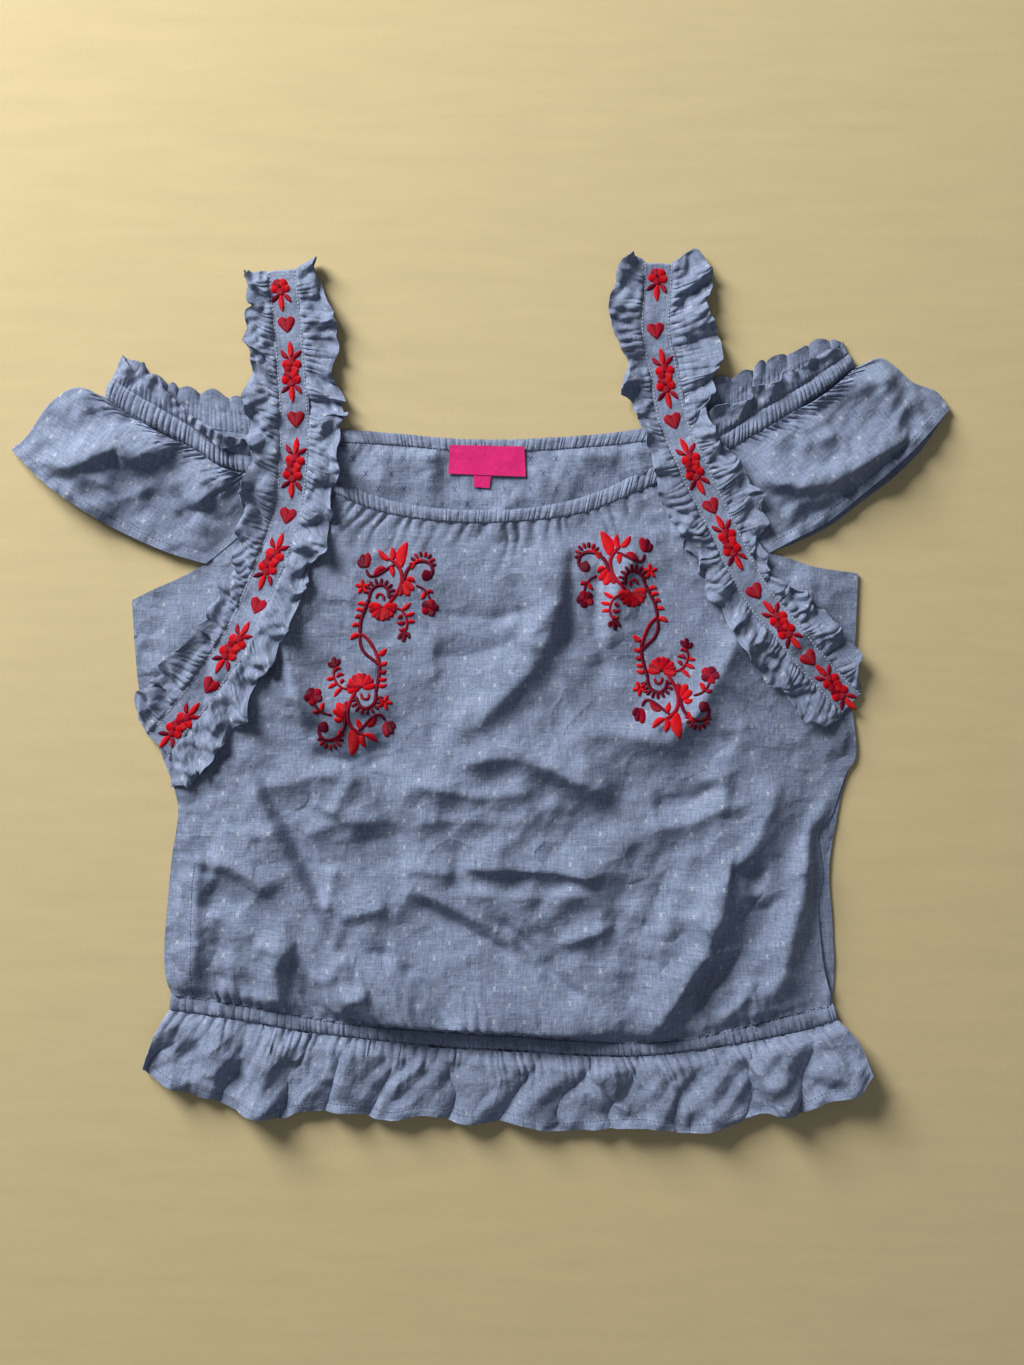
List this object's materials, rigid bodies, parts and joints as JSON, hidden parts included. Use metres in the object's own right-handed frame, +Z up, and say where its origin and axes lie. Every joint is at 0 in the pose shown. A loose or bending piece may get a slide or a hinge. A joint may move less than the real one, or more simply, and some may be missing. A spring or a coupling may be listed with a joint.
{
  "type": "dirndl blouse",
  "caption": "Off-shoulder chambray dirndl blouse laid flat, with ruffled embroidered shoulder straps, short flared sleeves, elastic casings and a gathered peplum.",
  "frame": {"origin": "centre of the bounding box in plan, on the surface that the blouse lies on", "axes": "+Z up out of the surface, through the thickness; +X across the blouse to the wearer's left; +Y from the hem to the shoulders"},
  "size_m": [0.5934, 0.5539, 0.0161],
  "materials": {
    "chambray": "woven blue cotton chambray, matt",
    "chambray_casing": "chambray gathered over elastic, matt",
    "strap_tape": "chambray tape with satin-stitch sprigs",
    "label": "woven satin label, bare"
  },
  "bodies": {
    "root": {"back_panel": "chambray", "front_panel": "chambray", "back_neck_casing": "chambray_casing", "front_neck_casing": "chambray_casing", "sleeve_left": "chambray", "sleeve_left_casing": "chambray_casing", "sleeve_left_frill": "chambray", "sleeve_right": "chambray", "sleeve_right_casing": "chambray_casing", "sleeve_right_frill": "chambray", "strap_left_tape": "strap_tape", "strap_left_ruffle_outer": "chambray", "strap_left_ruffle_inner": "chambray", "strap_right_tape": "strap_tape", "strap_right_ruffle_outer": "chambray", "strap_right_ruffle_inner": "chambray", "waist_casing_front": "chambray_casing", "waist_casing_back": "chambray_casing", "peplum_front": "chambray", "peplum_back": "chambray", "neck_label": "label", "size_tab": "label"}
  },
  "joints": []
}
